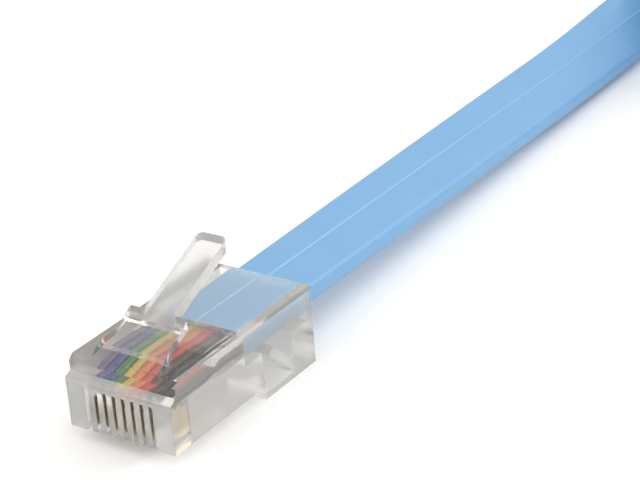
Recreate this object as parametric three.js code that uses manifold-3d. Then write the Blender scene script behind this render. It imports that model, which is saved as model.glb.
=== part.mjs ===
// A flat eight-wire console cable with a clear modular plug on each end.
// Millimetres, +Z up. Plug A lies on its foot with its nose towards -Y, and the cable leaves it towards +Y.
// The rest of the cable is wound into one flat tied coil, and plug B lies on its side beside the coil.
import * as THREE from "three";
import { mergeVertices } from "three/addons/utils/BufferGeometryUtils.js";
import Module from "manifold-3d";

const wasm = await Module();
wasm.setup();

// Driving dimensions

// The plug's own frame: x across, y = 0 at the nose and growing to the rear, z = 0 at the foot.
const plug = {
  width: 11.68,
  length: 21.46,
  height: 8.0,
  noseRise: 1.35,
  stepFront: 11.8,
  footFront: 13.4,
  frontHeight: 6.2,
  ledgeDepth: 0.8,
  ledgeRise: 0.4,
  browHeight: 7.5,
  browChamfer: 0.5,
};
const clearance = 0.3;
const bladeClearance = 0.04;
const cutOverrun = 1;

const contact = {
  count: 8,
  pitch: 1.02,
  thickness: 0.3,
  front: 0.25,
  length: 3.2,
  bottomAboveNose: 0.45,
  cornerRadius: 0.6,
  toothDepth: 0.45,
};
const slotBehindBlade = 0.15;

const wire = {
  diameter: 0.96,
  front: 0.9,
  sides: 10,
};

const cable = {
  width: 8.4,
  thickness: 2.2,
  edgeRadius: 0.75,
  heightInPlug: 5.6,
  insertion: 9.6,
  wireGap: 0.3,
};

const relief = {
  front: 14.2,
  length: 4.6,
  sideWall: 1.4,
  barRoot: 1.2,
  barFoot: 0.2,
  barReach: 3.6,
  barTip: 0.7,
};

// The latch: a plate that narrows from its root and thins towards the locking shoulders, then a narrow thumb tail.
const latch = {
  frontSlopeY: 0.85,
  ridgeY: 2.5,
  ridgeRise: 1.0,
  angle: 23.5,
  thickness: 1.05,
  rootWidth: 7.4,
  flareStartY: 2.8,
  flareEndY: 4.4,
  width: 6.2,
  shoulderY: 6.7,
  shoulderBar: 1.1,
  plateDip: 0.55,
  tailWidth: 3.2,
  tailEndY: 15.4,
  tailCorner: 0.6,
};

// The free cable: distance behind the plug, sideways place, height and twist in degrees,
// as it runs off twisting slowly until it stands on edge at the coil.
const cableRoute = [
  [-9.6, 0.0, 5.6, 0],
  [-4.0, 0.0, 5.6, 0],
  [2.0, -0.07, 5.55, 2.5],
  [15.0, -0.53, 5.22, 6],
  [30.0, -1.12, 4.77, 10],
  [46.0, -1.81, 4.22, 14.7],
  [62.0, -2.55, 3.6, 19.4],
  [70.0, -2.94, 3.3, 22.5],
  [78.0, -3.1, 3.38, 27.5],
  [86.0, -3.2, 3.65, 41],
  [94.0, -3.3, 4.05, 63],
  [101.2, -3.3, 4.24, 79],
];

const coil = {
  meanDiameter: 79.5,
  turnPitch: 3.0,
  turns: 6.56,
  layers: 2,
  layerPitch: 8.45,
  entryDistance: 118.0,
  edgeRadius: 0.8,
  exitAngle: 20,
};

// The tail: distance after it leaves the coil's outer turn, and height, down to plug B on the floor.
const tailRoute = [
  [15.5, 11.2],
  [22.0, 9.7],
  [30.0, 7.8],
  [38.0, 6.4],
  [45.0, 5.9],
  [52.0, 5.84],
  [61.6, 5.84],
];
const tailLength = 52;

const tie = {
  width: 10,
  thickness: 1.0,
  angle: 45,
  topSlack: 0.7,
  tabLength: 9,
  tabGap: 0.2,
};

// Sizes worked out from the driving ones

const plateSlope = Math.tan(THREE.MathUtils.degToRad(latch.angle));
const plateDrop = latch.thickness / Math.cos(THREE.MathUtils.degToRad(latch.angle));
const ridgeHeight = plug.height + latch.ridgeRise;
const wireHeight = cable.heightInPlug;
const bladeTop = wireHeight - wire.diameter / 2 - bladeClearance;
const bladeBottom = plug.noseRise + contact.bottomAboveNose;
const bladeRear = contact.front + contact.length;
const jacketFront = plug.length - cable.insertion;
const ringHalf = (coil.turns / coil.layers / 2) * coil.turnPitch;
const outerTurnRadius = coil.meanDiameter / 2 + ringHalf;
const ringOuter = outerTurnRadius + cable.thickness / 2;
const ringInner = coil.meanDiameter / 2 - ringHalf - cable.thickness / 2;
const ringHeight = cable.width + (coil.layers - 1) * coil.layerPitch;
const rearY = plug.length / 2;
const coilEntry = cableRoute[cableRoute.length - 1][1];
const coilCentre = new THREE.Vector3(coilEntry + outerTurnRadius, rearY + coil.entryDistance, 0);

const plastic = new THREE.MeshStandardMaterial({
  color: 0xe8e6df,
  roughness: 0.12,
  metalness: 0,
  transparent: true,
  opacity: 0.45,
});
const gold = new THREE.MeshStandardMaterial({ color: 0xc9a24a, roughness: 0.3, metalness: 1 });
const jacketBlue = new THREE.MeshStandardMaterial({ color: 0x6f9fca, roughness: 0.45, metalness: 0 });
const strapBlack = new THREE.MeshStandardMaterial({ color: 0x202224, roughness: 0.9, metalness: 0 });
const wireColours = [0x66507a, 0x3c4f8f, 0x2f7d46, 0xc4a83a, 0xcf6a33, 0xb8413c, 0x5f443a, 0x232324];

// Solids: from three.js geometry to a manifold and back

function solid(geometry) {
  const bare = geometry.clone();
  bare.deleteAttribute("normal");
  bare.deleteAttribute("uv");
  const merged = mergeVertices(bare, 1e-5);
  const mesh = new wasm.Mesh({
    numProp: 3,
    vertProperties: new Float32Array(merged.attributes.position.array),
    triVerts: new Uint32Array(merged.index.array),
  });
  return new wasm.Manifold(mesh);
}

function geometryOf(manifold) {
  const mesh = manifold.getMesh();
  const geometry = new THREE.BufferGeometry();
  geometry.setAttribute("position", new THREE.BufferAttribute(new Float32Array(mesh.vertProperties), 3));
  geometry.setIndex(new THREE.BufferAttribute(new Uint32Array(mesh.triVerts), 1));
  geometry.computeVertexNormals();
  return geometry;
}

function outline(points) {
  return new THREE.Shape(points.map(([a, b]) => new THREE.Vector2(a, b)));
}

// A side profile in y and z, extruded across x and centred on x = 0.
function acrossPlug(shape, width, curveSegments = 4) {
  const geometry = new THREE.ExtrudeGeometry(shape, { depth: width, bevelEnabled: false, curveSegments });
  geometry.translate(0, 0, -width / 2);
  const toPlug = new THREE.Matrix4().makeBasis(
    new THREE.Vector3(0, 1, 0),
    new THREE.Vector3(0, 0, 1),
    new THREE.Vector3(1, 0, 0),
  );
  return geometry.applyMatrix4(toPlug);
}

// A front profile in x and z, extruded along y from one place to another.
function alongPlug(shape, fromY, toY, curveSegments = 4) {
  const length = toY - fromY;
  const geometry = new THREE.ExtrudeGeometry(shape, { depth: length, bevelEnabled: false, curveSegments });
  geometry.rotateX(Math.PI / 2);
  geometry.translate(0, toY, 0);
  return geometry;
}

function rectangle(width, low, high) {
  return outline([[-width / 2, low], [width / 2, low], [width / 2, high], [-width / 2, high]]);
}

function node(name, geometry, material) {
  const mesh = new THREE.Mesh(geometry, material);
  mesh.name = name;
  return mesh;
}

// The plug

// Four of each eight lie on each side of the middle.
function bladeX(index) {
  return (index - (contact.count - 1) / 2) * contact.pitch;
}

function housingProfile() {
  return outline([
    [0, plug.noseRise],
    [plug.stepFront, plug.noseRise],
    [plug.footFront, 0],
    [plug.length, 0],
    [plug.length, plug.height],
    [plug.ledgeDepth + plug.browChamfer, plug.height],
    [plug.ledgeDepth, plug.browHeight],
    [plug.ledgeDepth, plug.frontHeight + plug.ledgeRise],
    [0, plug.frontHeight],
  ]);
}

// The slot of one blade, with the round bottom edges of the ribs on both sides of it.
function bladeSlot(x) {
  const half = contact.thickness / 2 + bladeClearance;
  const reach = contact.pitch / 2;
  const edge = reach - half;
  const bottom = plug.noseRise;
  const shape = new THREE.Shape();
  shape.moveTo(x - reach, bottom - cutOverrun);
  shape.lineTo(x + reach, bottom - cutOverrun);
  shape.lineTo(x + reach, bottom);
  shape.absarc(x + reach, bottom + edge, edge, -Math.PI / 2, -Math.PI, true);
  shape.lineTo(x + half, wireHeight);
  shape.lineTo(x - half, wireHeight);
  shape.lineTo(x - half, bottom + edge);
  shape.absarc(x - reach, bottom + edge, edge, 0, -Math.PI / 2, true);
  shape.closePath();
  return shape;
}

// The pocket under the jacket, cut around the bar that is pressed up against the jacket.
function reliefPocket() {
  const rear = relief.front + relief.length;
  const top = cable.heightInPlug;
  const pinch = cable.heightInPlug - cable.thickness / 2 - clearance;
  const barFront = rear - relief.barReach;
  return outline([
    [relief.front, -cutOverrun],
    [rear, -cutOverrun],
    [rear, relief.barFoot],
    [barFront, pinch - relief.barTip],
    [barFront + relief.barTip, pinch],
    [rear, relief.barFoot + relief.barRoot],
    [rear, top],
    [relief.front, top],
  ]);
}

function housing() {
  let body = solid(acrossPlug(housingProfile(), plug.width));
  const jacketRoom = rectangle(
    cable.width + 2 * clearance,
    cable.heightInPlug - cable.thickness / 2 - clearance,
    cable.heightInPlug + cable.thickness / 2 + clearance,
  );
  body = body.subtract(solid(alongPlug(jacketRoom, jacketFront - clearance, plug.length + cutOverrun)));
  const wireRoom = rectangle(
    contact.count * contact.pitch + 2 * bladeClearance,
    wireHeight - wire.diameter / 2 - bladeClearance,
    wireHeight + wire.diameter / 2 + bladeClearance,
  );
  body = body.subtract(solid(alongPlug(wireRoom, wire.front - clearance, jacketFront)));
  const pocketWidth = plug.width - 2 * relief.sideWall;
  body = body.subtract(solid(acrossPlug(reliefPocket(), pocketWidth)));
  for (let i = 0; i < contact.count; i += 1) {
    body = body.subtract(solid(alongPlug(bladeSlot(bladeX(i)), -cutOverrun, bladeRear + slotBehindBlade)));
  }
  return geometryOf(body);
}

function latchPlateHeight(y) {
  return ridgeHeight + (y - latch.ridgeY) * plateSlope;
}

// The latch's side profile, standing on the gap above the housing near its root. Its upper side dips
// towards the shoulders and steps up there.
function latchProfile(endY) {
  const bottom = plug.height + clearance;
  const slope = latch.ridgeRise / (latch.ridgeY - latch.frontSlopeY);
  const rootFront = latch.ridgeY - (ridgeHeight - bottom) / slope;
  const undersideStart = latch.ridgeY + (bottom - ridgeHeight + plateDrop) / plateSlope;
  const barFront = latch.shoulderY - latch.shoulderBar;
  return outline([
    [rootFront, bottom],
    [undersideStart, bottom],
    [endY, latchPlateHeight(endY) - plateDrop],
    [endY, latchPlateHeight(endY)],
    [barFront, latchPlateHeight(barFront)],
    [barFront, latchPlateHeight(barFront) - latch.plateDip],
    [latch.ridgeY, ridgeHeight],
  ]);
}

// The plan of the whole latch, with the tail's two end corners rounded.
function latchPlan() {
  const root = latch.rootWidth / 2;
  const half = latch.width / 2;
  const tail = latch.tailWidth / 2;
  const r = latch.tailCorner;
  const shape = new THREE.Shape();
  shape.moveTo(-root, 0);
  shape.lineTo(root, 0);
  shape.lineTo(root, latch.flareStartY);
  shape.lineTo(half, latch.flareEndY);
  shape.lineTo(half, latch.shoulderY);
  shape.lineTo(tail, latch.shoulderY);
  shape.lineTo(tail, latch.tailEndY - r);
  shape.absarc(tail - r, latch.tailEndY - r, r, 0, Math.PI / 2);
  shape.absarc(-tail + r, latch.tailEndY - r, r, Math.PI / 2, Math.PI);
  shape.lineTo(-tail, latch.shoulderY);
  shape.lineTo(-half, latch.shoulderY);
  shape.lineTo(-half, latch.flareEndY);
  shape.lineTo(-root, latch.flareStartY);
  shape.closePath();
  return shape;
}

function latchGeometry() {
  const plate = solid(acrossPlug(latchProfile(latch.tailEndY + cutOverrun), latch.rootWidth + 2 * cutOverrun));
  const planGeometry = new THREE.ExtrudeGeometry(latchPlan(), {
    depth: latchPlateHeight(latch.tailEndY) + cutOverrun,
    bevelEnabled: false,
    curveSegments: 4,
  });
  return geometryOf(plate.intersect(solid(planGeometry)));
}

// One blade: a flat plate with a round front corner and two teeth that pierce the wire above it.
function bladeGeometry(x) {
  const r = contact.cornerRadius;
  const toothWidth = contact.length / 4;
  const shape = new THREE.Shape();
  shape.moveTo(contact.front + r, bladeBottom);
  shape.lineTo(bladeRear, bladeBottom);
  shape.lineTo(bladeRear, bladeTop - contact.toothDepth);
  shape.lineTo(bladeRear - toothWidth, bladeTop - contact.toothDepth);
  shape.lineTo(bladeRear - 1.5 * toothWidth, bladeTop);
  shape.lineTo(contact.front + 2 * toothWidth, bladeTop - contact.toothDepth);
  shape.lineTo(contact.front + 1.5 * toothWidth, bladeTop);
  shape.lineTo(contact.front + toothWidth, bladeTop - contact.toothDepth);
  shape.lineTo(contact.front, bladeTop - contact.toothDepth);
  shape.lineTo(contact.front, bladeBottom + r);
  shape.absarc(contact.front + r, bladeBottom + r, r, Math.PI, 1.5 * Math.PI);
  shape.closePath();
  const geometry = acrossPlug(shape, contact.thickness);
  geometry.translate(x, 0, 0);
  return geometry;
}

function wireGeometry(x) {
  const length = jacketFront - cable.wireGap - wire.front;
  const geometry = new THREE.CylinderGeometry(wire.diameter / 2, wire.diameter / 2, length, wire.sides);
  geometry.translate(x, wire.front + length / 2, wireHeight);
  return geometry;
}

// A whole plug in its own frame. The far plug has the wire colours the other way round.
function makePlug(name, colours) {
  const group = new THREE.Group();
  group.add(node(`${name}_housing`, housing(), plastic));
  group.add(node(`${name}_latch`, latchGeometry(), plastic));
  colours.forEach((colour, i) => {
    group.add(node(`${name}_contact_${i + 1}`, bladeGeometry(bladeX(i)), gold));
    const insulation = new THREE.MeshStandardMaterial({ color: colour, roughness: 0.5, metalness: 0 });
    group.add(node(`${name}_wire_${i + 1}`, wireGeometry(bladeX(i)), insulation));
  });
  return group;
}

// The cable

// A path that carries the flat section's width direction with it, turned by a twist at each point.
class TwistedPath extends THREE.CatmullRomCurve3 {
  constructor(points, twists) {
    super(points);
    this.twists = twists;
  }

  twistAt(u) {
    const place = this.getUtoTmapping(u) * (this.twists.length - 1);
    const low = Math.min(Math.floor(place), this.twists.length - 2);
    return THREE.MathUtils.degToRad(THREE.MathUtils.lerp(this.twists[low], this.twists[low + 1], place - low));
  }

  computeFrenetFrames(segments) {
    const tangents = [];
    const normals = [];
    const binormals = [];
    for (let i = 0; i <= segments; i += 1) {
      const u = i / segments;
      const tangent = this.getTangentAt(u);
      const level = new THREE.Vector3().crossVectors(tangent, new THREE.Vector3(0, 0, 1)).normalize();
      const across = level.applyAxisAngle(tangent, this.twistAt(u));
      tangents.push(tangent);
      normals.push(across);
      binormals.push(new THREE.Vector3().crossVectors(tangent, across));
    }
    return { tangents, normals, binormals };
  }
}

// The cable's flat section: a rectangle with four round edges.
function cableSection() {
  const r = cable.edgeRadius;
  const side = cable.width / 2 - r;
  const flat = cable.thickness / 2 - r;
  const quarter = Math.PI / 2;
  const shape = new THREE.Shape();
  shape.moveTo(-side, -flat - r);
  shape.lineTo(side, -flat - r);
  shape.absarc(side, -flat, r, -quarter, 0);
  shape.absarc(side, flat, r, 0, quarter);
  shape.absarc(-side, flat, r, quarter, 2 * quarter);
  shape.absarc(-side, -flat, r, 2 * quarter, 3 * quarter);
  return shape;
}

function cableAlong(points, twists, steps) {
  const extrudePath = new TwistedPath(points, twists);
  return new THREE.ExtrudeGeometry(cableSection(), { steps, curveSegments: 3, extrudePath });
}

function freeCable() {
  const points = cableRoute.map(([behind, x, z]) => new THREE.Vector3(x, rearY + behind, z));
  const twists = cableRoute.map((row) => row[3]);
  return cableAlong(points, twists, 26);
}

// A frame at the place where the tail leaves the coil's outer turn: x points away from the coil,
// and the tail runs along -y.
function exitFrame() {
  const frame = new THREE.Group();
  frame.position.copy(coilCentre);
  frame.rotation.z = -THREE.MathUtils.degToRad(coil.exitAngle);
  return frame;
}

function tailGeometry() {
  const points = tailRoute.map(([after, z]) => new THREE.Vector3(outerTurnRadius, -after, z));
  return cableAlong(points, tailRoute.map(() => 90), 14);
}

// The wound turns as one ring, with a groove under them where the tie passes.
function coilGeometry() {
  const c = coil.edgeRadius;
  const profile = [
    [ringInner, c],
    [ringInner + c, 0],
    [ringOuter - c, 0],
    [ringOuter, c],
    [ringOuter, ringHeight - c],
    [ringOuter - c, ringHeight],
    [ringInner + c, ringHeight],
    [ringInner, ringHeight - c],
    [ringInner, c],
  ].map(([r, z]) => new THREE.Vector2(r, z));
  const ring = new THREE.LatheGeometry(profile, 72);
  ring.rotateX(Math.PI / 2);
  const groove = new THREE.BoxGeometry(
    2 * (ringOuter - ringInner),
    tie.width + 2 * clearance,
    2 * (tie.thickness + clearance),
  );
  groove.translate(coil.meanDiameter / 2, 0, 0);
  groove.rotateZ(THREE.MathUtils.degToRad(tie.angle));
  return geometryOf(solid(ring).subtract(solid(groove)));
}

// The strap around the turns: a closed loop, with its loose end lapped over its outer side.
function tieGeometry() {
  const inside = Math.sqrt(ringInner ** 2 - (tie.width / 2) ** 2) - clearance;
  const outside = ringOuter + clearance + tie.tabGap;
  const top = ringHeight + tie.thickness + tie.topSlack;
  const t = tie.thickness;
  const shape = outline([
    [inside - t, 0],
    [outside + t, 0],
    [outside + t, top / 2],
    [outside + 2 * t, top / 2 + t],
    [outside + 2 * t, top / 2 + tie.tabLength],
    [outside + t, top / 2 + tie.tabLength],
    [outside + t, top + t],
    [inside - t, top + t],
  ]);
  const hole = new THREE.Path([
    new THREE.Vector2(inside, t),
    new THREE.Vector2(inside, top),
    new THREE.Vector2(outside, top),
    new THREE.Vector2(outside, t),
  ]);
  shape.holes.push(hole);
  const geometry = new THREE.ExtrudeGeometry(shape, { depth: tie.width, bevelEnabled: false });
  geometry.translate(0, 0, -tie.width / 2);
  geometry.rotateX(Math.PI / 2);
  return geometry;
}

// The whole cable as it lies

const model = new THREE.Group();

const plugA = makePlug("plug_a", wireColours);
plugA.position.set(0, -plug.length / 2, 0);
model.add(plugA);

model.add(node("cable_jacket", freeCable(), jacketBlue));

const coilMesh = node("cable_coil", coilGeometry(), jacketBlue);
coilMesh.position.copy(coilCentre);
model.add(coilMesh);

const tieMesh = node("coil_tie", tieGeometry(), strapBlack);
tieMesh.position.copy(coilCentre);
tieMesh.rotation.z = THREE.MathUtils.degToRad(tie.angle);
model.add(tieMesh);

const exit = exitFrame();
exit.add(node("cable_tail", tailGeometry(), jacketBlue));

// Plug B lies on its side with its latch towards the coil, in line with the tail.
const plugB = makePlug("plug_b", [...wireColours].reverse());
plugB.rotation.y = -Math.PI / 2;
plugB.position.set(outerTurnRadius + cable.heightInPlug, -tailLength - plug.length, plug.width / 2);
exit.add(plugB);
model.add(exit);

export default model;
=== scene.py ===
import math

import bmesh
import bpy
import numpy as np
from mathutils import Matrix, Vector


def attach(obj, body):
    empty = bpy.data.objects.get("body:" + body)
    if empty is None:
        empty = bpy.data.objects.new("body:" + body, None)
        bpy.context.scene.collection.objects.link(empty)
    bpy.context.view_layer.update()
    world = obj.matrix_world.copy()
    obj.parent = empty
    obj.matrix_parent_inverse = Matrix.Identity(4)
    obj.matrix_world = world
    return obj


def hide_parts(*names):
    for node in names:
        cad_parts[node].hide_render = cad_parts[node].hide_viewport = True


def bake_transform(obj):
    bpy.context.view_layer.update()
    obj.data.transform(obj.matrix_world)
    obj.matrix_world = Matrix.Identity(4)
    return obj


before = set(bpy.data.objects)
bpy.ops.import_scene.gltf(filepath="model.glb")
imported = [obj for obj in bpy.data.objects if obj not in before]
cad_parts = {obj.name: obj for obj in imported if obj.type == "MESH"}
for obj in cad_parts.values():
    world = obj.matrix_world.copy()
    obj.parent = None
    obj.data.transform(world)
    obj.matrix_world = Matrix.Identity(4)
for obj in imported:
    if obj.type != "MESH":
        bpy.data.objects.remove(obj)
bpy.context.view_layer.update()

MM = 0.001

# Driving dimensions, as in the CAD source

PLUG_WIDTH = 11.68
PLUG_LENGTH = 21.46
PLUG_HEIGHT = 8.0
NOSE_RISE = 1.35
STEP_FRONT = 11.8
FOOT_FRONT = 13.4
FRONT_HEIGHT = 6.2
LEDGE_DEPTH = 0.8
LEDGE_RISE = 0.4
BROW_HEIGHT = 7.5
BROW_CHAMFER = 0.5
CLEARANCE = 0.3
OVERRUN = 1.0
EDGE_RADIUS = 0.09
CHAMBER_FRONT = 7.4
CHAMBER_FLARE = 1.0
CHAMBER_LIFT = 0.35
CHAMBER_DROP = 0.15

BLADES = 8
PITCH = 1.02
BLADE_THICKNESS = 0.3
BLADE_CLEARANCE = 0.04
BLADE_FRONT = 0.25
BLADE_LENGTH = 3.2
BLADE_RISE = 0.45
BLADE_CORNER = 0.6
BLADE_EDGE = 0.04
TOOTH_DEPTH = 0.45
SLOT_BEHIND = 0.15

WIRE_DIAMETER = 0.96
WIRE_FRONT = 0.9
WIRE_CORE = 0.26
WIRE_PRESS = 0.02
WIRE_SLACK = 0.05
SIDE_PRESS = 0.15
WIRE_SIDES = 24
WIRE_RINGS = 36
WANDER_LENGTH = 4.0
WIRE_NAMES = ("violet", "blue", "green", "yellow", "orange", "red", "brown", "black")

# Each wire's route in its plug: distance from the nose, lift, and share of its place in the row.
WIRE_ROUTE = (
    (0.9, 0.0, 1.0),
    (3.0, 0.0, 1.0),
    (6.5, 0.02, 1.0),
    (9.2, 0.2, 1.0),
    (11.2, 0.05, 0.98),
    (12.4, 0.0, 0.96),
)
WIRE_WANDER = (0.03, -0.05, 0.04, -0.02, 0.05, -0.04, 0.02, -0.03)

CABLE_WIDTH = 8.4
CABLE_THICKNESS = 2.2
CABLE_HEIGHT = 5.6
CABLE_INSERTION = 9.6
CABLE_CORNER = 0.75
RIDGE_PLACE = -0.4
RIDGE_WIDTH = 0.24
RIDGE_RISE = 0.07

RELIEF_FRONT = 14.2
RELIEF_LENGTH = 4.6
RELIEF_WALL = 1.4
BAR_ROOT = 1.2
BAR_FOOT = 0.2
BAR_REACH = 3.6
BAR_TIP = 0.7

LATCH_SLOPE_Y = 0.85
RIDGE_Y = 2.5
LATCH_RISE = 1.0
LATCH_ANGLE = math.radians(23.5)
LATCH_THICKNESS = 1.05
LATCH_WIDTH = 6.2
SHOULDER_Y = 6.7
SHOULDER_BAR = 1.1
PLATE_DIP = 0.55
ROOT_WIDTH = 7.4
FLARE_START_Y = 2.8
FLARE_END_Y = 4.4
TAIL_WIDTH = 3.2
TAIL_END_Y = 15.4
TAIL_CORNER = 0.6
TAIL_INNER_CORNER = 0.35
ROOT_DEPTH = 0.6
ROOT_FILLET = 0.55
ROOT_LIFT = 0.06

# The cable's route, as in the CAD source: distance behind the plug, sideways place, height and
# twist in degrees.
CABLE_ROUTE = (
    (-9.6, 0.0, 5.6, 0.0),
    (-4.0, 0.0, 5.6, 0.0),
    (2.0, -0.07, 5.55, 2.5),
    (15.0, -0.53, 5.22, 6.0),
    (30.0, -1.12, 4.77, 10.0),
    (46.0, -1.81, 4.22, 14.7),
    (62.0, -2.55, 3.6, 19.4),
    (70.0, -2.94, 3.3, 22.5),
    (78.0, -3.1, 3.38, 27.5),
    (86.0, -3.2, 3.65, 41.0),
    (94.0, -3.3, 4.05, 63.0),
    (101.2, -3.3, 4.24, 79.0),
    (118.0, -3.3, 4.25, 90.0),
)
# The tail's route: distance from the coil and height.
TAIL_ROUTE = (
    (0.0, 12.7),
    (7.0, 12.6),
    (12.0, 12.05),
    (15.5, 11.2),
    (22.0, 9.7),
    (30.0, 7.8),
    (38.0, 6.4),
    (45.0, 5.9),
    (52.0, 5.84),
    (61.6, 5.84),
)
TAIL_LENGTH = 52.0
COIL_MEAN_DIAMETER = 79.5
TURN_PITCH = 3.0
TURNS = 6.56
LAYERS = 2
LAYER_PITCH = 8.45
COIL_ENTRY = 118.0
EXIT_ANGLE = 20.0
CLIMB_TURNS = 0.3
RINGS_PER_TURN = 96
STRAIGHT_STEP = 1.5
ROUND_STEPS = 6

TIE_WIDTH = 10.0
TIE_THICKNESS = 1.0
TIE_ANGLE = 45.0
TIE_RAMP = 16.0
TIE_CORNER = 1.9
TIE_INNER_CORNER = 0.9
TIE_EDGE = 0.2
TIE_INSET = 0.5
TOP_SLACK = 0.7
RIDE_GAP = 0.15
TAB_LENGTH = 12.0
TAB_GAP = 0.2
TAB_MARGIN = 0.3
TAB_TAPER = 3.0

# Sizes worked out from the driving ones

REAR_Y = PLUG_LENGTH / 2
PLATE_SLOPE = math.tan(LATCH_ANGLE)
PLATE_DROP = LATCH_THICKNESS / math.cos(LATCH_ANGLE)
RIDGE_HEIGHT = PLUG_HEIGHT + LATCH_RISE
BLADE_TOP = CABLE_HEIGHT - WIRE_DIAMETER / 2 - BLADE_CLEARANCE
BLADE_BOTTOM = NOSE_RISE + BLADE_RISE
BLADE_REAR = BLADE_FRONT + BLADE_LENGTH
JACKET_FRONT = PLUG_LENGTH - CABLE_INSERTION
RING_HALF = TURNS / LAYERS / 2 * TURN_PITCH
OUTER_TURN = COIL_MEAN_DIAMETER / 2 + RING_HALF
INNER_TURN = COIL_MEAN_DIAMETER / 2 - RING_HALF
COIL_TURNS = 0.5 * math.ceil(TURNS * 2 - 1) + EXIT_ANGLE / 360
COIL_CENTRE = Vector((CABLE_ROUTE[-1][1] + OUTER_TURN, REAR_Y + COIL_ENTRY, 0))

EXIT_FRAME = Matrix.Translation(COIL_CENTRE) @ Matrix.Rotation(-math.radians(EXIT_ANGLE), 4, "Z")
PLUG_A_PLACE = Matrix.Translation((0, -PLUG_LENGTH / 2, 0))
PLUG_B_PLACE = (
    EXIT_FRAME
    @ Matrix.Translation((OUTER_TURN + CABLE_HEIGHT, -TAIL_LENGTH - PLUG_LENGTH, PLUG_WIDTH / 2))
    @ Matrix.Rotation(-math.pi / 2, 4, "Y")
)


# The camera, at the photograph's viewing angle, fitted to the plug's corners

AZIMUTH = math.radians(35.4)
ELEVATION = math.radians(25.3)
ROLL = math.radians(-4.45)
DISTANCE = 178.7
SIDE_OFFSET = 11.84
UP_OFFSET = 11.15
FOCAL_PIXELS = 1979
PHOTO_WIDTH = 640
SENSOR_WIDTH = 36.0
AIM = Vector((0, 10 - PLUG_LENGTH / 2, 4))

# The studio: each light has a name, a place in metres, its size in metres and its power in watts.

FLOOR_REACH = 1500
FLOOR_DROP = 0.02
SKY_STRENGTH = 0.8
LIGHT_AIM = (0, 0.02, 0)
LIGHTS = (
    ("key", (0.25, -0.15, 0.6), 0.5, 1.6),
    ("fill", (-0.5, -0.3, 0.35), 0.5, 0.7),
    ("rim", (0.26, 0.38, 0.31), 0.22, 0.8),
)


def add_camera():
    back = Vector((
        math.sin(AZIMUTH) * math.cos(ELEVATION),
        -math.cos(AZIMUTH) * math.cos(ELEVATION),
        math.sin(ELEVATION),
    ))
    level = Vector((math.cos(AZIMUTH), math.sin(AZIMUTH), 0))
    upright = back.cross(level)
    right = level * math.cos(ROLL) + upright * math.sin(ROLL)
    up = upright * math.cos(ROLL) - level * math.sin(ROLL)
    place = (AIM + right * SIDE_OFFSET + up * UP_OFFSET + back * DISTANCE) * MM
    data = bpy.data.cameras.new("photo_camera")
    data.sensor_width = SENSOR_WIDTH
    data.lens = FOCAL_PIXELS / PHOTO_WIDTH * SENSOR_WIDTH
    data.clip_start = 0.01
    data.clip_end = 20
    camera = bpy.data.objects.new("photo_camera", data)
    camera.matrix_world = Matrix((
        (right.x, up.x, back.x, place.x),
        (right.y, up.y, back.y, place.y),
        (right.z, up.z, back.z, place.z),
        (0, 0, 0, 1),
    ))
    bpy.context.scene.collection.objects.link(camera)
    bpy.context.scene.camera = camera


# Materials

def material(name):
    made = bpy.data.materials.new(name)
    made.use_nodes = True
    nodes = made.node_tree.nodes
    return made, nodes, made.node_tree.links, nodes["Principled BSDF"]


def object_noise(nodes, links, scale, detail=3.0):
    place = nodes.new("ShaderNodeTexCoord")
    noise = nodes.new("ShaderNodeTexNoise")
    noise.inputs["Scale"].default_value = scale
    noise.inputs["Detail"].default_value = detail
    links.new(place.outputs["Object"], noise.inputs["Vector"])
    return noise


def ramp_between(nodes, links, source, low, high, positions=(0.3, 0.7)):
    ramp = nodes.new("ShaderNodeValToRGB")
    ramp.color_ramp.elements[0].position = positions[0]
    ramp.color_ramp.elements[1].position = positions[1]
    ramp.color_ramp.elements[0].color = (*low, 1)
    ramp.color_ramp.elements[1].color = (*high, 1)
    links.new(source, ramp.inputs["Fac"])
    return ramp


def add_bump(nodes, links, shader, source, strength, distance):
    bump = nodes.new("ShaderNodeBump")
    bump.inputs["Strength"].default_value = strength
    bump.inputs["Distance"].default_value = distance
    links.new(source, bump.inputs["Height"])
    links.new(bump.outputs["Normal"], shader.inputs["Normal"])


def moulded_finish(name, colour, roughness, variation=0.08, grain=900.0, grain_depth=0.00001):
    """Coloured plastic with a faint mottle, uneven gloss and a fine grain."""
    made, nodes, links, shader = material(name)
    mottle = object_noise(nodes, links, 260.0)
    low = tuple(c * (1 - variation) for c in colour)
    high = tuple(min(1.0, c * (1 + variation)) for c in colour)
    tone = ramp_between(nodes, links, mottle.outputs["Fac"], low, high)
    links.new(tone.outputs["Color"], shader.inputs["Base Color"])
    gloss = nodes.new("ShaderNodeMapRange")
    gloss.inputs["To Min"].default_value = roughness - 0.06
    gloss.inputs["To Max"].default_value = roughness + 0.08
    links.new(mottle.outputs["Fac"], gloss.inputs["Value"])
    links.new(gloss.outputs["Result"], shader.inputs["Roughness"])
    fine = object_noise(nodes, links, grain, 5.0)
    add_bump(nodes, links, shader, fine.outputs["Fac"], 0.35, grain_depth)
    return made


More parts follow.
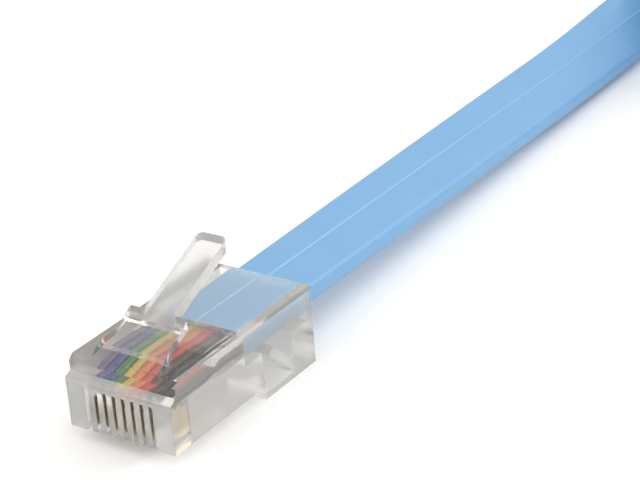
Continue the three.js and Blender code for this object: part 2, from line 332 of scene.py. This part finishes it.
def clear_plastic(name, colour, roughness, transmission):
    """Clear moulded plastic, a little milky and warm, that lets light fall onto what is inside it."""
    made, nodes, links, shader = material(name)
    shader.inputs["Base Color"].default_value = (*colour, 1)
    shader.inputs["Roughness"].default_value = roughness
    shader.inputs["Transmission Weight"].default_value = transmission
    shader.inputs["IOR"].default_value = 1.4
    through = nodes.new("ShaderNodeBsdfTransparent")
    through.inputs["Color"].default_value = (0.9, 0.895, 0.88, 1)
    path = nodes.new("ShaderNodeLightPath")
    mix = nodes.new("ShaderNodeMixShader")
    output = nodes["Material Output"]
    links.new(path.outputs["Is Shadow Ray"], mix.inputs["Fac"])
    links.new(shader.outputs["BSDF"], mix.inputs[1])
    links.new(through.outputs["BSDF"], mix.inputs[2])
    links.new(mix.outputs["Shader"], output.inputs["Surface"])
    return made


def gold():
    made, nodes, links, shader = material("gold_contact")
    wear = object_noise(nodes, links, 1500.0)
    tone = ramp_between(nodes, links, wear.outputs["Fac"], (0.68, 0.54, 0.32), (0.86, 0.74, 0.52))
    links.new(tone.outputs["Color"], shader.inputs["Base Color"])
    shader.inputs["Metallic"].default_value = 1.0
    shader.inputs["Roughness"].default_value = 0.4
    add_bump(nodes, links, shader, wear.outputs["Fac"], 0.2, 0.00001)
    return made


def woven_strap():
    made, nodes, links, shader = material("strap_black")
    place = nodes.new("ShaderNodeTexCoord")
    weave = nodes.new("ShaderNodeTexVoronoi")
    weave.inputs["Scale"].default_value = 1400.0
    links.new(place.outputs["Object"], weave.inputs["Vector"])
    light, dark = (0.035, 0.035, 0.038), (0.012, 0.012, 0.013)
    tone = ramp_between(nodes, links, weave.outputs["Distance"], light, dark)
    links.new(tone.outputs["Color"], shader.inputs["Base Color"])
    shader.inputs["Roughness"].default_value = 0.92
    shader.inputs["Sheen Weight"].default_value = 0.35
    add_bump(nodes, links, shader, weave.outputs["Distance"], 0.8, 0.0003)
    return made


WIRE_COLOURS = {
    "violet": (0.13, 0.075, 0.18),
    "blue": (0.045, 0.06, 0.21),
    "green": (0.035, 0.15, 0.05),
    "yellow": (0.45, 0.34, 0.06),
    "orange": (0.52, 0.15, 0.045),
    "red": (0.42, 0.05, 0.04),
    "brown": (0.06, 0.032, 0.022),
    "black": (0.012, 0.012, 0.012),
}
POLISHED = clear_plastic("clear_polished", (0.91, 0.895, 0.87), 0.05, 0.95)
# The sides' satin copy of the clear plastic has a darker colour: painted shade.
SATIN_SIDE_PAINTED_SHADE = clear_plastic("clear_satin_side_painted_shade", (0.72, 0.705, 0.68), 0.2, 0.74)
SATIN_TAIL = clear_plastic("clear_satin_tail", (0.83, 0.82, 0.79), 0.25, 0.82)
# The nose's satin copy of the clear plastic has a lighter colour: painted light.
SATIN_NOSE_PAINTED_LIGHT = clear_plastic("clear_satin_nose_painted_light", (0.9, 0.89, 0.87), 0.2, 0.7)
FINISHES = (POLISHED, SATIN_SIDE_PAINTED_SHADE, SATIN_NOSE_PAINTED_LIGHT, SATIN_TAIL)
GOLD = gold()
STRAP = woven_strap()
COPPER = moulded_finish("copper_core", (0.3, 0.14, 0.08), 0.4)
BLUE = moulded_finish("cable_blue", (0.172, 0.372, 0.62), 0.42, variation=0.025, grain=2600.0)
# The ridge's faces get a lighter blue than the jacket: a painted highlight along the ridge.
CABLE_RIDGE_HIGHLIGHT = moulded_finish("cable_ridge_highlight", (0.24, 0.46, 0.7), 0.42, variation=0.025, grain=2600.0)
WIRES = {name: moulded_finish(f"wire_{name}", WIRE_COLOURS[name], 0.4) for name in WIRE_NAMES}


# Mesh helpers: pieces are made in millimetres and placed in metres

def piece(name, bm, place, materials, smooth_angle=30):
    """A finished object from a bmesh in a plug's frame, in millimetres."""
    mesh = bpy.data.meshes.new(name)
    bm.to_mesh(mesh)
    bm.free()
    return finish_mesh(name, mesh, place, materials, smooth_angle)


def finish_mesh(name, mesh, place, materials, smooth_angle=30):
    """An object from a mesh in millimetres. Without an angle, it keeps the normals that it came with."""
    mesh.transform(Matrix.Scale(MM, 4) @ place)
    for one in materials:
        mesh.materials.append(one)
    if smooth_angle:
        mesh.shade_smooth()
        mesh.set_sharp_from_angle(angle=math.radians(smooth_angle))
    made = bpy.data.objects.new(name, mesh)
    bpy.context.scene.collection.objects.link(made)
    return made


def prism(outline, axis, low, high):
    """A closed block: an outline of (a, b) points carried along x, y or z."""
    order = {
        "x": lambda a, b, t: (t, a, b),
        "y": lambda a, b, t: (a, t, b),
        "z": lambda a, b, t: (a, b, t),
    }[axis]
    bm = bmesh.new()
    near, far = ([bm.verts.new(order(a, b, t)) for a, b in outline] for t in (low, high))
    bm.faces.new(near)
    bm.faces.new(far[::-1])
    for i in range(len(outline)):
        j = (i + 1) % len(outline)
        bm.faces.new((near[i], near[j], far[j], far[i]))
    bmesh.ops.recalc_face_normals(bm, faces=bm.faces)
    return bm


def rectangle(width, low, high):
    return [(-width / 2, low), (width / 2, low), (width / 2, high), (-width / 2, high)]


def arc(centre_a, centre_b, radius, start, end, steps):
    """Points on an arc, with its angles in degrees."""
    angles = [math.radians(start + (end - start) * i / steps) for i in range(steps + 1)]
    return [(centre_a + radius * math.cos(t), centre_b + radius * math.sin(t)) for t in angles]


def scratch_object(bm):
    mesh = bpy.data.meshes.new("scratch")
    bm.to_mesh(mesh)
    bm.free()
    made = bpy.data.objects.new("scratch", mesh)
    bpy.context.scene.collection.objects.link(made)
    return made


def applied(target):
    """The target with its modifiers applied to its mesh."""
    bpy.context.view_layer.update()
    evaluated = target.evaluated_get(bpy.context.evaluated_depsgraph_get())
    mesh = bpy.data.meshes.new_from_object(evaluated)
    target.modifiers.clear()
    old = target.data
    target.data = mesh
    bpy.data.meshes.remove(old)


def combine(target, bm, operation):
    other = scratch_object(bm)
    modifier = target.modifiers.new("combine", "BOOLEAN")
    modifier.operation = operation
    modifier.solver = "EXACT"
    modifier.object = other
    applied(target)
    mesh = other.data
    bpy.data.objects.remove(other)
    bpy.data.meshes.remove(mesh)


# The clear shell: housing and latch moulded in one

def blade_x(index):
    return (index - (BLADES - 1) / 2) * PITCH


def plate_height(y):
    return RIDGE_HEIGHT + (y - RIDGE_Y) * PLATE_SLOPE


def housing_outline():
    return [
        (0, NOSE_RISE),
        (STEP_FRONT, NOSE_RISE),
        (FOOT_FRONT, 0),
        (PLUG_LENGTH, 0),
        (PLUG_LENGTH, PLUG_HEIGHT),
        (LEDGE_DEPTH + BROW_CHAMFER, PLUG_HEIGHT),
        (LEDGE_DEPTH, BROW_HEIGHT),
        (LEDGE_DEPTH, FRONT_HEIGHT + LEDGE_RISE),
        (0, FRONT_HEIGHT),
    ]


def blade_slot_outline(x):
    half = BLADE_THICKNESS / 2 + BLADE_CLEARANCE
    reach = PITCH / 2
    edge = reach - half
    right = arc(x + reach, NOSE_RISE + edge, edge, -90, -180, 6)
    left = arc(x - reach, NOSE_RISE + edge, edge, 0, -90, 6)
    return [
        (x - reach, NOSE_RISE - OVERRUN),
        (x + reach, NOSE_RISE - OVERRUN),
        *right,
        (x + half, CABLE_HEIGHT),
        (x - half, CABLE_HEIGHT),
        *left,
    ]


def wire_room_outline():
    """The open room behind the wires' channels, where they come out of the jacket."""
    half = WIRE_DIAMETER / 2 + WIRE_SLACK
    floor = CABLE_HEIGHT - half
    ceiling = CABLE_HEIGHT + half
    return [
        (CHAMBER_FRONT, floor),
        (CHAMBER_FRONT + CHAMBER_FLARE, floor - CHAMBER_DROP),
        (JACKET_FRONT, floor - CHAMBER_DROP),
        (JACKET_FRONT, ceiling + CHAMBER_LIFT),
        (CHAMBER_FRONT + CHAMBER_FLARE, ceiling + CHAMBER_LIFT),
        (CHAMBER_FRONT, ceiling),
    ]


def relief_outline():
    rear = RELIEF_FRONT + RELIEF_LENGTH
    pinch = CABLE_HEIGHT - CABLE_THICKNESS / 2 - CLEARANCE
    bar_front = rear - BAR_REACH
    return [
        (RELIEF_FRONT, -OVERRUN),
        (rear, -OVERRUN),
        (rear, BAR_FOOT),
        (bar_front, pinch - BAR_TIP),
        (bar_front + BAR_TIP, pinch),
        (rear, BAR_FOOT + BAR_ROOT),
        (rear, CABLE_HEIGHT),
        (RELIEF_FRONT, CABLE_HEIGHT),
    ]


def latch_outline(end_y):
    """The latch's side profile, rooted in the housing's top."""
    bar_front = SHOULDER_Y - SHOULDER_BAR
    underside = RIDGE_Y + (PLUG_HEIGHT - RIDGE_HEIGHT + PLATE_DROP) / PLATE_SLOPE
    return [
        (LATCH_SLOPE_Y, BROW_HEIGHT),
        (LATCH_SLOPE_Y + ROOT_DEPTH, PLUG_HEIGHT - ROOT_DEPTH),
        (underside - ROOT_FILLET, PLUG_HEIGHT - ROOT_DEPTH),
        (underside + ROOT_FILLET / 2, PLUG_HEIGHT + ROOT_LIFT),
        (underside + 2 * ROOT_FILLET, plate_height(underside + 2 * ROOT_FILLET) - PLATE_DROP),
        (end_y, plate_height(end_y) - PLATE_DROP),
        (end_y, plate_height(end_y)),
        (bar_front, plate_height(bar_front)),
        (bar_front, plate_height(bar_front) - PLATE_DIP),
        (RIDGE_Y, RIDGE_HEIGHT),
    ]


def latch_plan():
    root = ROOT_WIDTH / 2
    half = LATCH_WIDTH / 2
    tail = TAIL_WIDTH / 2
    r = TAIL_CORNER
    inner = TAIL_INNER_CORNER
    return [
        (-root, 0),
        (root, 0),
        (root, FLARE_START_Y),
        (half, FLARE_END_Y),
        (half, SHOULDER_Y),
        *arc(tail + inner, SHOULDER_Y + inner, inner, 270, 180, 6),
        *arc(tail - r, TAIL_END_Y - r, r, 0, 90, 6),
        *arc(-tail + r, TAIL_END_Y - r, r, 90, 180, 6),
        *arc(-tail - inner, SHOULDER_Y + inner, inner, 0, -90, 6),
        (-half, SHOULDER_Y),
        (-half, FLARE_END_Y),
        (-root, FLARE_START_Y),
    ]


def build_shell():
    """The shell's mesh in a plug's frame, in millimetres."""
    half_width = PLUG_WIDTH / 2
    latch = scratch_object(prism(latch_outline(TAIL_END_Y + OVERRUN), "x", -half_width, half_width))
    combine(latch, prism(latch_plan(), "z", 0, plate_height(TAIL_END_Y) + OVERRUN), "INTERSECT")
    shell = scratch_object(prism(housing_outline(), "x", -half_width, half_width))
    together = bmesh.new()
    together.from_mesh(latch.data)
    combine(shell, together, "UNION")
    bpy.data.objects.remove(latch)

    half_room = CABLE_THICKNESS / 2 + CLEARANCE
    room_width = CABLE_WIDTH + 2 * CLEARANCE
    jacket_room = rectangle(room_width, CABLE_HEIGHT - half_room, CABLE_HEIGHT + half_room)
    combine(shell, prism(jacket_room, "y", JACKET_FRONT - CLEARANCE, PLUG_LENGTH + OVERRUN), "DIFFERENCE")
    wire_half = BLADES * PITCH / 2 - SIDE_PRESS
    combine(shell, prism(wire_room_outline(), "x", -wire_half, wire_half), "DIFFERENCE")
    for i in range(BLADES):
        radius = WIRE_DIAMETER / 2 - WIRE_PRESS
        last = 360 - 360 / WIRE_SIDES
        outline = arc(blade_x(i), CABLE_HEIGHT, radius, 0, last, WIRE_SIDES - 1)
        channel = prism(outline, "y", WIRE_FRONT - CLEARANCE, CHAMBER_FRONT + CLEARANCE)
        combine(shell, channel, "DIFFERENCE")
    pocket_half = half_width - RELIEF_WALL
    combine(shell, prism(relief_outline(), "x", -pocket_half, pocket_half), "DIFFERENCE")
    for i in range(BLADES):
        slot = prism(blade_slot_outline(blade_x(i)), "y", -OVERRUN, BLADE_REAR + SLOT_BEHIND)
        combine(shell, slot, "DIFFERENCE")

    shell.data.shade_smooth()
    bevel = shell.modifiers.new("edges", "BEVEL")
    bevel.width = EDGE_RADIUS
    bevel.segments = 3
    bevel.limit_method = "ANGLE"
    bevel.angle_limit = math.radians(18)
    flatten = shell.modifiers.new("flat faces", "WEIGHTED_NORMAL")
    flatten.mode = "FACE_AREA"
    applied(shell)
    mesh = shell.data.copy()
    bpy.data.objects.remove(shell)
    for face in mesh.polygons:
        face.material_index = finish_index(face)
    return mesh


def finish_index(face):
    """The mould is polished on top, and its sides, nose and thumb tail are left satin. The sides' copy is
    darker as painted shade, and the nose's lighter as painted light.
    """
    at, facing = face.center, face.normal
    if at.y < LEDGE_DEPTH and at.z < BROW_HEIGHT and facing.y < 0:
        return FINISHES.index(SATIN_NOSE_PAINTED_LIGHT)
    if at.y > SHOULDER_Y and at.z > PLUG_HEIGHT + EDGE_RADIUS and facing.z > -0.7:
        return FINISHES.index(SATIN_TAIL)
    side = abs(at.x) > PLUG_WIDTH / 2 - EDGE_RADIUS and at.z < PLUG_HEIGHT
    under = facing.z < -0.9 and at.z < NOSE_RISE + EDGE_RADIUS
    return FINISHES.index(SATIN_SIDE_PAINTED_SHADE if side or under else POLISHED)


# Blades and wires

def blade_outline():
    r = BLADE_CORNER
    tooth = BLADE_LENGTH / 4
    base = BLADE_TOP - TOOTH_DEPTH
    return [
        *arc(BLADE_FRONT + r, BLADE_BOTTOM + r, r, 180, 270, 6),
        (BLADE_REAR, BLADE_BOTTOM),
        (BLADE_REAR, base),
        (BLADE_REAR - tooth, base),
        (BLADE_REAR - 1.5 * tooth, BLADE_TOP),
        (BLADE_FRONT + 2 * tooth, base),
        (BLADE_FRONT + 1.5 * tooth, BLADE_TOP),
        (BLADE_FRONT + tooth, base),
        (BLADE_FRONT, base),
    ]


def blade(name, x, place):
    bm = prism(blade_outline(), "x", x - BLADE_THICKNESS / 2, x + BLADE_THICKNESS / 2)
    bmesh.ops.bevel(
        bm, geom=bm.edges[:], offset=BLADE_EDGE, segments=2, affect="EDGES", clamp_overlap=True
    )
    return piece(name, bm, place, [GOLD])


def smooth_step(t):
    t = min(max(t, 0.0), 1.0)
    return t * t * (3 - 2 * t)


def through(rows, at):
    """A smooth curve through rows of (place, values...), read at one place."""
    places = [row[0] for row in rows]
    i = min(max(np.searchsorted(places, at, side="right") - 1, 0), len(rows) - 2)
    slopes = []
    for k in (i, i + 1):
        low, high = max(k - 1, 0), min(k + 1, len(rows) - 1)
        slopes.append((np.array(rows[high][1:]) - np.array(rows[low][1:])) / (places[high] - places[low]))
    span = places[i + 1] - places[i]
    t = (at - places[i]) / span
    start, end = np.array(rows[i][1:]), np.array(rows[i + 1][1:])
    return (
        (2 * t**3 - 3 * t**2 + 1) * start
        + (t**3 - 2 * t**2 + t) * span * slopes[0]
        + (3 * t**2 - 2 * t**3) * end
        + (t**3 - t**2) * span * slopes[1]
    )


def wire(name, index, colour, place):
    """One insulated wire with its copper showing at the cut end, wandering a little in its chamber."""
    radius = WIRE_DIAMETER / 2
    bm = bmesh.new()
    rings = []
    first, last = WIRE_ROUTE[0][0], WIRE_ROUTE[-1][0]
    for step in range(WIRE_RINGS + 1):
        y = first + (last - first) * step / WIRE_RINGS
        lift, spread = through(WIRE_ROUTE, y)
        wander = WIRE_WANDER[index] * math.sin(math.pi * max(0, y - CHAMBER_FRONT) / WANDER_LENGTH)
        x = blade_x(index) * spread + wander
        z = CABLE_HEIGHT + lift + 0.5 * wander
        rings.append([
            bm.verts.new((x + radius * math.cos(t), y, z + radius * math.sin(t)))
            for t in (2 * math.pi * k / WIRE_SIDES for k in range(WIRE_SIDES))
        ])
    for near, far in zip(rings, rings[1:]):
        for k in range(WIRE_SIDES):
            j = (k + 1) % WIRE_SIDES
            bm.faces.new((near[k], far[k], far[j], near[j]))
    bm.faces.new(rings[-1])
    front = bm.faces.new(rings[0][::-1])
    bm.normal_update()
    core = bmesh.ops.inset_individual(bm, faces=[front], thickness=radius - WIRE_CORE / 2)
    front.material_index = 1
    for face in core["faces"]:
        face.material_index = 0
    bmesh.ops.recalc_face_normals(bm, faces=bm.faces)
    return piece(name, bm, place, [WIRES[colour], COPPER], 50)


def add_plug(name, place, shell_mesh, colours):
    shell = finish_mesh(f"{name}_shell", shell_mesh.copy(), place, FINISHES, None)
    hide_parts(f"{name}_housing", f"{name}_latch")
    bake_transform(shell)
    made = [shell]
    for i, colour in enumerate(colours):
        contact = blade(f"{name}_blade_{i + 1}", blade_x(i), place)
        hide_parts(f"{name}_contact_{i + 1}")
        insulated = wire(f"{name}_conductor_{i + 1}", i, colour, place)
        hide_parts(f"{name}_wire_{i + 1}")
        for one in (contact, insulated):
            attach(one, "root")
            made.append(one)
    return made


# The cable

def tie_lift(angle, radius):
    """How far a turn rides up over the tie's strap, by its angle round the coil in degrees."""
    away = abs((angle - TIE_ANGLE + 180) % 360 - 180)
    distance = math.radians(away) * radius - TIE_WIDTH / 2 - CLEARANCE
    return (TIE_THICKNESS + RIDE_GAP) * (1 - smooth_step(distance / TIE_RAMP))


def coil_point(turn):
    """A point of the wound cable after that many turns: inwards on the floor, up, and outwards on top."""
    half = TURNS / LAYERS
    inward = math.sqrt((turn - half) ** 2 + 0.05**2)
    radius = INNER_TURN + TURN_PITCH * inward
    climb = smooth_step((turn - half) / CLIMB_TURNS + 0.5)
    angle = 180 - 360 * turn
    height = CABLE_ROUTE[-1][2] + LAYER_PITCH * climb + tie_lift(angle, radius)
    t = math.radians(angle)
    return COIL_CENTRE + Vector((radius * math.cos(t), radius * math.sin(t), height))


def cable_line():
    """The cable's centreline and its twist in degrees, from inside plug A to inside plug B."""
    line = []
    start, end = CABLE_ROUTE[0][0], CABLE_ROUTE[-1][0]
    for at in np.linspace(start, end, round((end - start) / STRAIGHT_STEP) + 1):
        x, z, twist = through(CABLE_ROUTE, at)
        line.append((Vector((x, REAR_Y + at, z)), twist))
    coil_rings = round(COIL_TURNS * RINGS_PER_TURN) + 1
    for turn in np.linspace(0, COIL_TURNS, coil_rings)[1:-1]:
        line.append((coil_point(turn), 90.0))
    start, end = TAIL_ROUTE[0][0], TAIL_ROUTE[-1][0]
    for at in np.linspace(start, end, round((end - start) / STRAIGHT_STEP) + 1):
        (z,) = through(TAIL_ROUTE, at)
        line.append((EXIT_FRAME @ Vector((OUTER_TURN, -at, z)), 90.0))
    return line


def cable_section():
    """The flat section with its round edges, and the fine ridge along its upper face."""
    r = CABLE_CORNER
    side = CABLE_WIDTH / 2 - r
    flat = CABLE_THICKNESS / 2 - r
    return [
        *arc(side, -flat, r, -90, 0, ROUND_STEPS),
        *arc(side, flat, r, 0, 90, ROUND_STEPS),
        (CABLE_WIDTH / 4, CABLE_THICKNESS / 2),
        (RIDGE_PLACE + RIDGE_WIDTH / 2, CABLE_THICKNESS / 2),
        (RIDGE_PLACE + RIDGE_WIDTH / 6, CABLE_THICKNESS / 2 + RIDGE_RISE),
        (RIDGE_PLACE - RIDGE_WIDTH / 6, CABLE_THICKNESS / 2 + RIDGE_RISE),
        (RIDGE_PLACE - RIDGE_WIDTH / 2, CABLE_THICKNESS / 2),
        (-CABLE_WIDTH / 4, CABLE_THICKNESS / 2),
        *arc(-side, flat, r, 90, 180, ROUND_STEPS),
        *arc(-side, -flat, r, 180, 270, ROUND_STEPS),
    ]


def add_cable():
    line = cable_line()
    section = cable_section()
    bm = bmesh.new()
    rings = []
    for i, (point, twist) in enumerate(line):
        before = line[max(i - 1, 0)][0]
        after = line[min(i + 1, len(line) - 1)][0]
        along = (after - before).normalized()
        level = along.cross(Vector((0, 0, 1))).normalized()
        across = Matrix.Rotation(math.radians(twist), 3, along) @ level
        upper = across.cross(along)
        rings.append([bm.verts.new(point + across * a + upper * b) for a, b in section])
    for near, far in zip(rings, rings[1:]):
        for k in range(len(section)):
            j = (k + 1) % len(section)
            face = bm.faces.new((near[k], far[k], far[j], near[j]))
            # Faces on the ridge take the lighter blue, a painted highlight.
            between = max(abs(section[k][0] - RIDGE_PLACE), abs(section[j][0] - RIDGE_PLACE))
            face.material_index = 1 if between < RIDGE_WIDTH and section[k][1] > 0 else 0
    bm.faces.new(rings[0])
    bm.faces.new(rings[-1][::-1])
    bmesh.ops.recalc_face_normals(bm, faces=bm.faces)
    made = piece("flat_cable", bm, Matrix.Identity(4), [BLUE, CABLE_RIDGE_HIGHLIGHT], 35)
    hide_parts("cable_jacket", "cable_coil", "cable_tail")
    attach(made, "root")
    return made, [point * MM for point, _ in line]


# The strap around the coil

def rounded_box(left, right, bottom, top, radius):
    corners = ((right, bottom, -90), (right, top, 0), (left, top, 90), (left, bottom, 180))
    points = []
    for a, b, start in corners:
        inward_a = a - radius if a == right else a + radius
        inward_b = b - radius if b == top else b + radius
        points += arc(inward_a, inward_b, radius, start, start + 90, 5)
    return points


def add_strap():
    """A woven strap round the turns, with its loose end lapped down over its outer side."""
    t = TIE_THICKNESS
    ring_inner = INNER_TURN - CABLE_THICKNESS / 2
    ring_outer = OUTER_TURN - TIE_INSET + CABLE_THICKNESS / 2
    inside = math.sqrt(ring_inner**2 - (TIE_WIDTH / 2) ** 2) - CLEARANCE
    outside = ring_outer + CLEARANCE + TAB_GAP
    top = CABLE_WIDTH + (LAYERS - 1) * LAYER_PITCH + t + TOP_SLACK
    outline = rounded_box(inside - t, outside + t, 0, top + t, TIE_CORNER)
    opening = rounded_box(inside, outside, t, top, TIE_INNER_CORNER)
    strap = scratch_object(prism(outline, "y", -TIE_WIDTH / 2, TIE_WIDTH / 2))
    combine(strap, prism(opening, "y", -TIE_WIDTH, TIE_WIDTH), "DIFFERENCE")
    high = top + t / 2
    low = high - TAB_LENGTH
    lap = [
        (outside + t / 2, high - t),
        (outside + t / 2, low + TAB_TAPER),
        (outside + t + 0.35, low),
        (outside + 2 * t, low),
        (outside + 1.75 * t, low + TAB_TAPER),
        (outside + 1.75 * t, high - 2.2),
        (outside + 1.2 * t, high - 0.7),
        (outside + t / 2, high - 0.2),
    ]
    tab_half = TIE_WIDTH / 2 - TAB_MARGIN
    combine(strap, prism(lap, "y", -tab_half, tab_half), "UNION")
    bevel = strap.modifiers.new("edges", "BEVEL")
    bevel.width = TIE_EDGE
    bevel.segments = 2
    bevel.limit_method = "ANGLE"
    bevel.angle_limit = math.radians(40)
    applied(strap)
    mesh = strap.data.copy()
    bpy.data.objects.remove(strap)
    place = Matrix.Translation(COIL_CENTRE) @ Matrix.Rotation(math.radians(TIE_ANGLE), 4, "Z")
    made = finish_mesh("strap", mesh, place, [STRAP], 30)
    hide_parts("coil_tie")
    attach(made, "root")
    return made


# The stage

def add_stage():
    bm = bmesh.new()
    bmesh.ops.create_grid(bm, x_segments=1, y_segments=1, size=FLOOR_REACH)
    floor = piece("floor", bm, Matrix.Translation((0, 0, -FLOOR_DROP)), [])
    made, nodes, links, shader = material("floor")
    shader.inputs["Base Color"].default_value = (0.93, 0.93, 0.925, 1)
    shader.inputs["Roughness"].default_value = 0.8
    floor.data.materials.append(made)
    world = bpy.data.worlds.new("studio")
    bpy.context.scene.world = world
    world.use_nodes = True
    backdrop = world.node_tree.nodes["Background"]
    backdrop.inputs["Color"].default_value = (1.0, 0.985, 0.96, 1)
    backdrop.inputs["Strength"].default_value = SKY_STRENGTH


def add_light(name, place, size, power):
    data = bpy.data.lights.new(name, "AREA")
    data.size = size
    data.energy = power
    light = bpy.data.objects.new(name, data)
    light.location = place
    light.rotation_euler = (Vector(LIGHT_AIM) - Vector(place)).to_track_quat("-Z", "Y").to_euler()
    bpy.context.scene.collection.objects.link(light)


add_camera()
cable, cable_path = add_cable()
shell_mesh = build_shell()
add_plug("plug_a", PLUG_A_PLACE, shell_mesh, WIRE_NAMES)
far_plug = add_plug("plug_b", PLUG_B_PLACE, shell_mesh, WIRE_NAMES[::-1])
strap = add_strap()
add_stage()
for light in LIGHTS:
    add_light(*light)
bpy.context.scene.view_settings.view_transform = "Standard"
